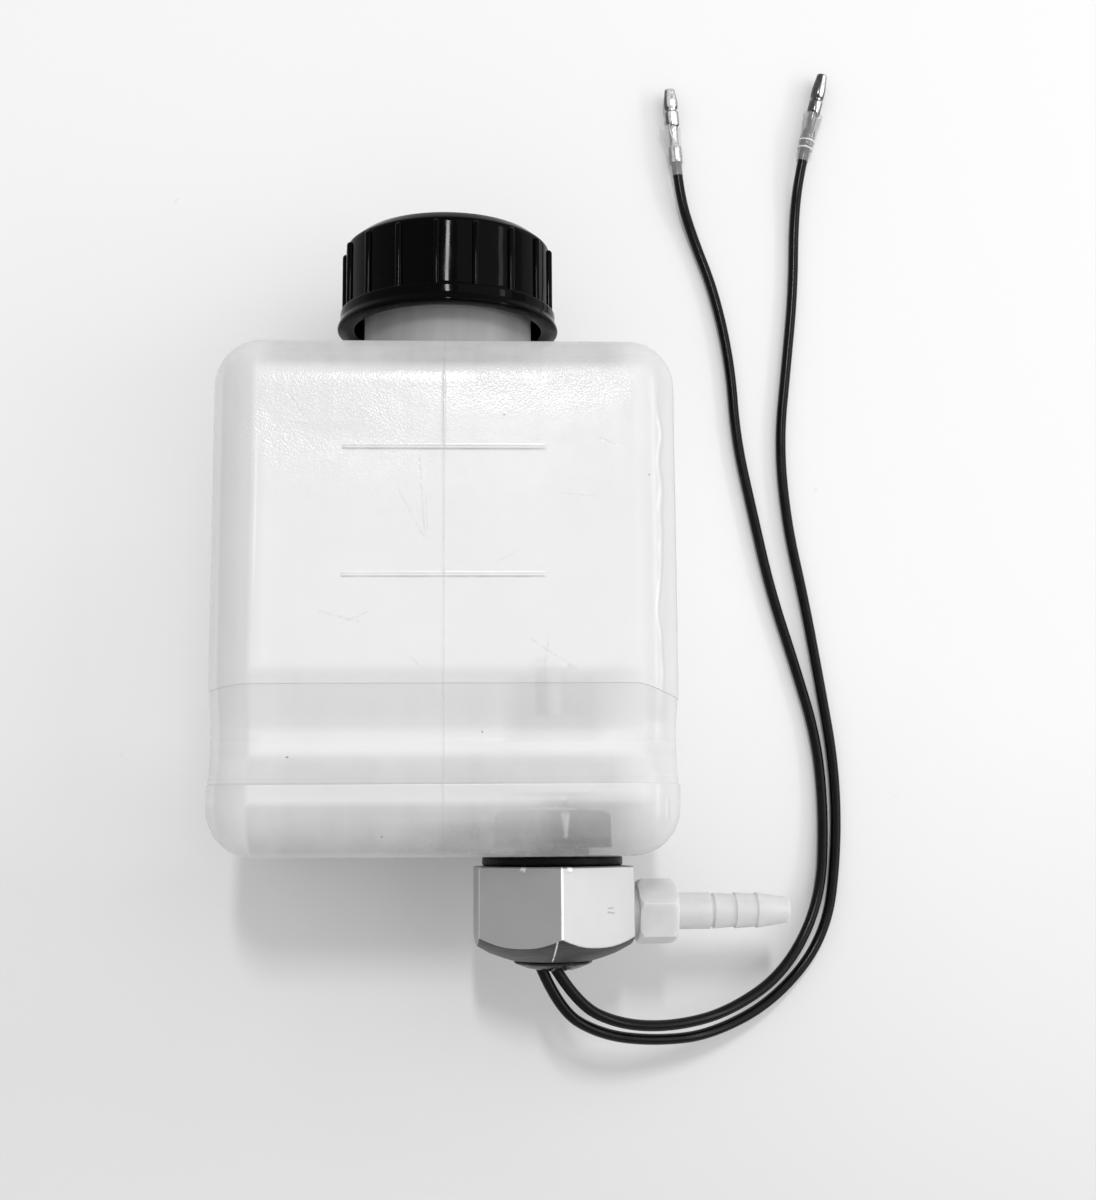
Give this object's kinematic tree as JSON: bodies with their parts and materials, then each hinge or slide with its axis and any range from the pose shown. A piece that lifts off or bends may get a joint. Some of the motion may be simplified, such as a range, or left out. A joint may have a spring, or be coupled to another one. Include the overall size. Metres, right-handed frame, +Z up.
{
  "type": "gear oil reservoir",
  "caption": "Translucent oil bottle with a ribbed screw cap, a hexagonal base fitting with side hose barb, an inner float switch and wire leads with bullet terminals.",
  "frame": {"origin": "middle of the bottle's back face, which lies on the floor", "axes": "+Y along the bottle axis from the base to the cap, +Z up from the floor through the front face, +X to the side with the hose barb"},
  "size_m": [0.1649, 0.2737, 0.0764],
  "materials": {
    "bottle_plastic": "natural translucent blown polyethylene",
    "cap_black": "moulded, glossy",
    "white_foam": "closed-cell foam",
    "machined_metal": "machined, satin",
    "black_rubber": "smooth",
    "zinc_steel": "zinc plated",
    "stem_plastic": "moulded",
    "spring_steel": "plain",
    "float_plastic": "moulded",
    "magnet": "sintered",
    "reed_glass": "clear",
    "tinned_lead": "tinned",
    "sealing_compound": "cast resin",
    "nylon": "natural moulded nylon",
    "wire_jacket": "extruded",
    "plated_brass": "nickel plated, a little dull",
    "copper": "stranded",
    "clear_sleeve": "clear vinyl"
  },
  "bodies": {
    "reservoir": {"bottle": "bottle_plastic", "hex_housing": "machined_metal", "base_seal": "black_rubber", "inner_washer": "zinc_steel", "lock_nut": "zinc_steel", "stem_tube": "stem_plastic", "stop_clip_low": "spring_steel", "stop_clip_high": "spring_steel", "reed_capsule": "reed_glass", "reed_lead_low": "tinned_lead", "reed_lead_high": "tinned_lead", "potting": "sealing_compound", "barb_fitting": "nylon", "wire_outer": "wire_jacket", "wire_inner": "wire_jacket", "terminal_outer": "plated_brass", "terminal_inner": "plated_brass", "strands_outer": "copper", "strands_inner": "copper", "sleeve_outer": "clear_sleeve", "sleeve_inner": "clear_sleeve"},
    "cap_carrier": {"cap_liner": "white_foam"},
    "cap": {"cap": "cap_black"},
    "float": {"float_body": "float_plastic", "float_magnet": "magnet"}
  },
  "joints": [
    {"name": "cap_lift", "type": "slide", "parent": "reservoir", "child": "cap_carrier", "axis": [0, 1, 0], "range_m": [0, 0.00424]},
    {"name": "cap_turn", "type": "hinge", "parent": "cap_carrier", "child": "cap", "pos_m": [0, 0, 0.038], "axis": [0, 1, 0], "range_deg": [0, 360]},
    {"name": "float_slide", "type": "slide", "parent": "reservoir", "child": "float", "axis": [0, 1, 0], "range_m": [0, 0.0122]}
  ],
  "couplings": [
    {"joint": "cap_lift", "follows": "cap_turn", "m_per_rad": 0.0006737}
  ]
}
